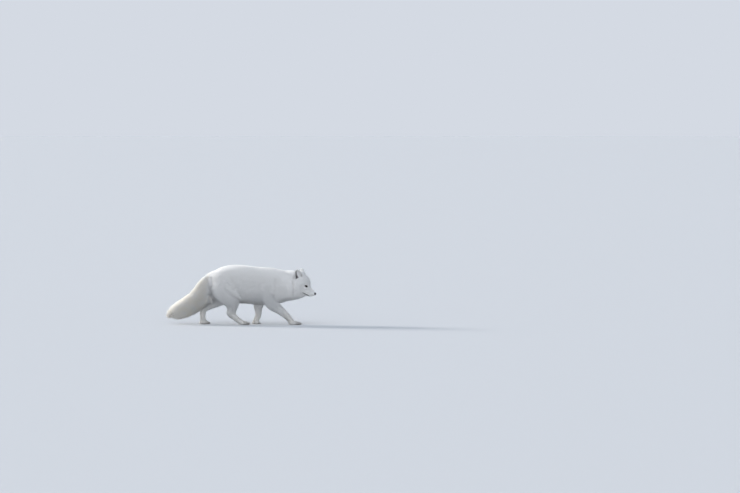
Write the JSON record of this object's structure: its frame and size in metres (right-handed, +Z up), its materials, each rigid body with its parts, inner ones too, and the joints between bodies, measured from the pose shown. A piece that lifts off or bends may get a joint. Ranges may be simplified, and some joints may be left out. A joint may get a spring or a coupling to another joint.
{
  "type": "arctic fox",
  "caption": "Life-size still model of an arctic fox in its white winter coat, walking with its head low and its brush trailing.",
  "frame": {"origin": "middle of the footprint of the whole model's box, at floor level", "axes": "+X the way the fox walks, +Y to its left, +Z up"},
  "size_m": [0.8076, 0.1738, 0.3239],
  "materials": {
    "coat": "dense soft white winter fur",
    "tail": "long soft fur, white with a faint cream cast and a few dark hairs near the tip",
    "nose": "moist pebbled black nose leather",
    "eye": "dark brown, wet and glossy"
  },
  "bodies": {
    "root": {"trunk": "coat", "neck": "coat", "head": "coat", "jaw": "coat", "ear_right": "coat", "ear_left": "coat", "eye_right": "eye", "eye_left": "eye", "nose": "nose", "tail": "tail", "leg_front_right": "coat", "leg_front_left": "coat", "leg_hind_right": "coat", "leg_hind_left": "coat", "paw_front_right": "coat", "paw_front_left": "coat", "paw_hind_right": "coat", "paw_hind_left": "coat"}
  },
  "joints": []
}
